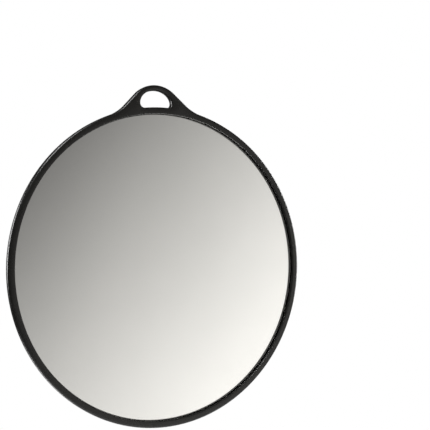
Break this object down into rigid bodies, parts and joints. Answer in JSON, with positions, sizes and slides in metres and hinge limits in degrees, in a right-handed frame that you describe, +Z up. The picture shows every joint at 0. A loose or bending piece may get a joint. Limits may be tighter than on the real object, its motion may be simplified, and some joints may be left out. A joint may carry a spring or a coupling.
{
  "type": "hand mirror",
  "caption": "Round hand mirror with a raised back handle for one-handed use and a hanging loop on the rim.",
  "frame": {"origin": "bearing point of the hanging loop: top of its opening, at the mid-thickness of the loop", "axes": "+Z up towards the loop, -Y out of the mirror glass, +Y towards the handle, +X to the right as seen from the glass side"},
  "size_m": [0.2544, 0.0781, 0.2719],
  "materials": {
    "bezel_plastic": "satin moulded ABS",
    "clear_glass": "clear float glass",
    "silvering": "silver layer with back paint",
    "foam": "closed-cell foam",
    "shell_plastic": "smooth satin moulded ABS",
    "textured_plastic": "spark-eroded grain",
    "grip_plastic": "spark-eroded grain",
    "badge_plastic": "smooth blue-black inlay",
    "adhesive_film": "double-sided tape",
    "screw_steel": "zinc-plated"
  },
  "bodies": {
    "root": {"front_bezel": "bezel_plastic", "mirror_glass": "clear_glass", "mirror_silvering": "silvering", "foam_pad_1": "foam", "foam_pad_2": "foam", "foam_pad_3": "foam", "foam_pad_4": "foam", "foam_pad_5": "foam", "foam_pad_6": "foam", "back_shell": "shell_plastic", "handle_cover": "textured_plastic", "handle_inner": "grip_plastic", "badge_plate": "badge_plastic", "badge_adhesive": "adhesive_film", "head_screws": "screw_steel", "grip_screws": "screw_steel"}
  },
  "joints": []
}
